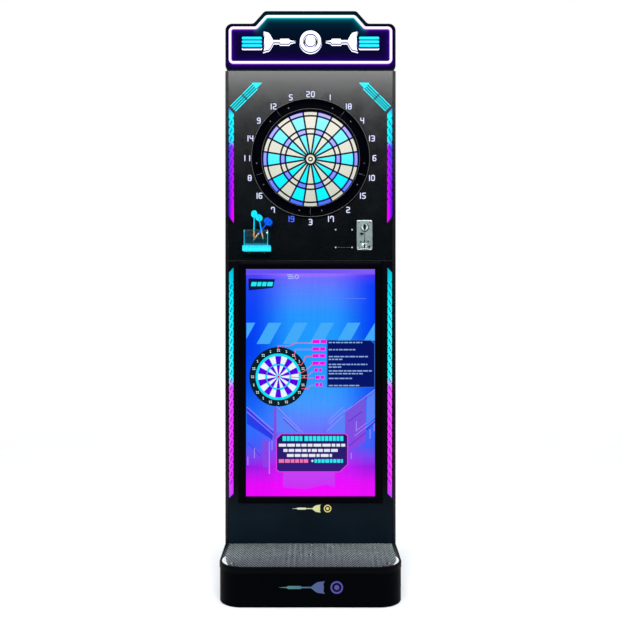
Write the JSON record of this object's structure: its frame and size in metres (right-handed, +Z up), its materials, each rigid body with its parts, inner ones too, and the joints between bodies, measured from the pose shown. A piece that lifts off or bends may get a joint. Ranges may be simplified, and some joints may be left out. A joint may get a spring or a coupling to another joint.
{
  "type": "electronic dart machine",
  "caption": "Free-standing electronic dart machine: soft-tip board of sprung segments, portrait display, lit sign, coin slot, dart holder and step plinth.",
  "frame": {"origin": "centre of the footprint on the floor, the bottom centre of the bounding box", "axes": "+Z up; the player stands on the -Y side; +X is to the player's right"},
  "size_m": [0.698, 0.707, 2.33],
  "materials": {
    "laminate": "satin black laminate",
    "front_gloss": "gloss black laminate",
    "plinth": "satin black",
    "tread": "chequer plate",
    "trim": "satin",
    "bezel": "gloss",
    "display": "lit display",
    "housing": "matt",
    "spider": "satin",
    "segment_cream": "backlit satin",
    "segment_cyan": "backlit satin",
    "bull_cream": "backlit satin",
    "bull_dark": "satin",
    "mat": "matt",
    "surround": "satin",
    "sign_housing": "satin black",
    "sign_face": "gloss",
    "neon": "lit",
    "strip_upper": "lit",
    "strip_lower": "lit",
    "zinc": "satin",
    "flap_metal": "satin",
    "button": "matt",
    "acrylic": "clear",
    "holder_base": "lit",
    "dart": "polished",
    "lock": "polished",
    "inlet": "matt",
    "controller": "grey"
  },
  "bodies": {
    "machine": {"base_plinth": "plinth", "tread_plate": "tread", "step_edge_trim": "trim", "side_panel_left": "laminate", "side_panel_right": "laminate", "top_panel": "laminate", "rear_panel": "laminate", "front_panel_upper": "front_gloss", "front_frame_lower": "front_gloss", "screen_bezel": "bezel", "display_panel": "display", "power_inlet": "inlet", "controller_box": "controller", "board_housing": "housing", "sensor_mat": "mat", "spider": "spider", "surround_arc_top": "surround", "surround_arc_upper_right": "surround", "surround_arc_lower_right": "surround", "surround_arc_lower_left": "surround", "surround_arc_upper_left": "surround", "marquee_housing": "sign_housing", "marquee_face": "sign_face", "marquee_tube": "neon", "light_strip_upper_left": "strip_upper", "light_strip_upper_right": "strip_upper", "light_strip_lower_left": "strip_lower", "light_strip_lower_right": "strip_lower", "coin_plate": "zinc", "dart_holder": "acrylic", "dart_holder_base": "holder_base"},
    "sector_20": {"sector_20": "segment_cream"},
    "sector_01": {"sector_01": "segment_cyan"},
    "sector_18": {"sector_18": "segment_cream"},
    "sector_04": {"sector_04": "segment_cyan"},
    "sector_13": {"sector_13": "segment_cream"},
    "sector_06": {"sector_06": "segment_cyan"},
    "sector_10": {"sector_10": "segment_cream"},
    "sector_15": {"sector_15": "segment_cyan"},
    "sector_02": {"sector_02": "segment_cream"},
    "sector_17": {"sector_17": "segment_cyan"},
    "sector_03": {"sector_03": "segment_cream"},
    "sector_19": {"sector_19": "segment_cyan"},
    "sector_07": {"sector_07": "segment_cream"},
    "sector_16": {"sector_16": "segment_cyan"},
    "sector_08": {"sector_08": "segment_cream"},
    "sector_11": {"sector_11": "segment_cyan"},
    "sector_14": {"sector_14": "segment_cream"},
    "sector_09": {"sector_09": "segment_cyan"},
    "sector_12": {"sector_12": "segment_cream"},
    "sector_05": {"sector_05": "segment_cyan"},
    "outer_bull": {"outer_bull": "bull_cream"},
    "inner_bull": {"inner_bull": "bull_dark"},
    "coin_reject_button": {"coin_reject_button": "button"},
    "coin_return_flap": {"coin_return_flap": "flap_metal"},
    "rear_door": {"rear_door": "laminate"},
    "door_lock": {"door_lock": "lock"},
    "dart_left": {"dart_left": "dart"},
    "dart_middle": {"dart_middle": "dart"},
    "dart_right": {"dart_right": "dart"}
  },
  "joints": [
    {"name": "sector_20_press", "type": "slide", "parent": "machine", "child": "sector_20", "axis": [0, 1, 0], "range_m": [0, 0.0015], "stiffness_N_per_m": 900},
    {"name": "sector_01_press", "type": "slide", "parent": "machine", "child": "sector_01", "axis": [0, 1, 0], "range_m": [0, 0.0015], "stiffness_N_per_m": 900},
    {"name": "sector_18_press", "type": "slide", "parent": "machine", "child": "sector_18", "axis": [0, 1, 0], "range_m": [0, 0.0015], "stiffness_N_per_m": 900},
    {"name": "sector_04_press", "type": "slide", "parent": "machine", "child": "sector_04", "axis": [0, 1, 0], "range_m": [0, 0.0015], "stiffness_N_per_m": 900},
    {"name": "sector_13_press", "type": "slide", "parent": "machine", "child": "sector_13", "axis": [0, 1, 0], "range_m": [0, 0.0015], "stiffness_N_per_m": 900},
    {"name": "sector_06_press", "type": "slide", "parent": "machine", "child": "sector_06", "axis": [0, 1, 0], "range_m": [0, 0.0015], "stiffness_N_per_m": 900},
    {"name": "sector_10_press", "type": "slide", "parent": "machine", "child": "sector_10", "axis": [0, 1, 0], "range_m": [0, 0.0015], "stiffness_N_per_m": 900},
    {"name": "sector_15_press", "type": "slide", "parent": "machine", "child": "sector_15", "axis": [0, 1, 0], "range_m": [0, 0.0015], "stiffness_N_per_m": 900},
    {"name": "sector_02_press", "type": "slide", "parent": "machine", "child": "sector_02", "axis": [0, 1, 0], "range_m": [0, 0.0015], "stiffness_N_per_m": 900},
    {"name": "sector_17_press", "type": "slide", "parent": "machine", "child": "sector_17", "axis": [0, 1, 0], "range_m": [0, 0.0015], "stiffness_N_per_m": 900},
    {"name": "sector_03_press", "type": "slide", "parent": "machine", "child": "sector_03", "axis": [0, 1, 0], "range_m": [0, 0.0015], "stiffness_N_per_m": 900},
    {"name": "sector_19_press", "type": "slide", "parent": "machine", "child": "sector_19", "axis": [0, 1, 0], "range_m": [0, 0.0015], "stiffness_N_per_m": 900},
    {"name": "sector_07_press", "type": "slide", "parent": "machine", "child": "sector_07", "axis": [0, 1, 0], "range_m": [0, 0.0015], "stiffness_N_per_m": 900},
    {"name": "sector_16_press", "type": "slide", "parent": "machine", "child": "sector_16", "axis": [0, 1, 0], "range_m": [0, 0.0015], "stiffness_N_per_m": 900},
    {"name": "sector_08_press", "type": "slide", "parent": "machine", "child": "sector_08", "axis": [0, 1, 0], "range_m": [0, 0.0015], "stiffness_N_per_m": 900},
    {"name": "sector_11_press", "type": "slide", "parent": "machine", "child": "sector_11", "axis": [0, 1, 0], "range_m": [0, 0.0015], "stiffness_N_per_m": 900},
    {"name": "sector_14_press", "type": "slide", "parent": "machine", "child": "sector_14", "axis": [0, 1, 0], "range_m": [0, 0.0015], "stiffness_N_per_m": 900},
    {"name": "sector_09_press", "type": "slide", "parent": "machine", "child": "sector_09", "axis": [0, 1, 0], "range_m": [0, 0.0015], "stiffness_N_per_m": 900},
    {"name": "sector_12_press", "type": "slide", "parent": "machine", "child": "sector_12", "axis": [0, 1, 0], "range_m": [0, 0.0015], "stiffness_N_per_m": 900},
    {"name": "sector_05_press", "type": "slide", "parent": "machine", "child": "sector_05", "axis": [0, 1, 0], "range_m": [0, 0.0015], "stiffness_N_per_m": 900},
    {"name": "outer_bull_press", "type": "slide", "parent": "machine", "child": "outer_bull", "axis": [0, 1, 0], "range_m": [0, 0.0015], "stiffness_N_per_m": 600},
    {"name": "inner_bull_press", "type": "slide", "parent": "machine", "child": "inner_bull", "axis": [0, 1, 0], "range_m": [0, 0.0015], "stiffness_N_per_m": 600},
    {"name": "coin_reject_press", "type": "slide", "parent": "machine", "child": "coin_reject_button", "axis": [0, 1, 0], "range_m": [0, 0.004], "stiffness_N_per_m": 300},
    {"name": "coin_flap_swing", "type": "hinge", "parent": "machine", "child": "coin_return_flap", "pos_m": [0.2214, -0.0666, 1.3778], "axis": [1, 0, 0], "range_deg": [0, 60]},
    {"name": "rear_door_swing", "type": "hinge", "parent": "machine", "child": "rear_door", "pos_m": [-0.3325, 0.348, 0.6335], "axis": [0, 0, 1], "range_deg": [0, 110]},
    {"name": "door_lock_turn", "type": "hinge", "parent": "rear_door", "child": "door_lock", "pos_m": [0.298, 0.3455, 0.66], "axis": [0, 1, 0], "range_deg": [0, 90]},
    {"name": "dart_left_lift", "type": "slide", "parent": "machine", "child": "dart_left", "axis": [0.0128, -0.0085, 0.9999], "range_m": [0, 0.12]},
    {"name": "dart_middle_lift", "type": "slide", "parent": "machine", "child": "dart_middle", "axis": [-0.1369, -0.5134, 0.8471], "range_m": [0, 0.12]},
    {"name": "dart_right_lift", "type": "slide", "parent": "machine", "child": "dart_right", "axis": [0.6269, -0.2235, 0.7463], "range_m": [0, 0.12]}
  ]
}
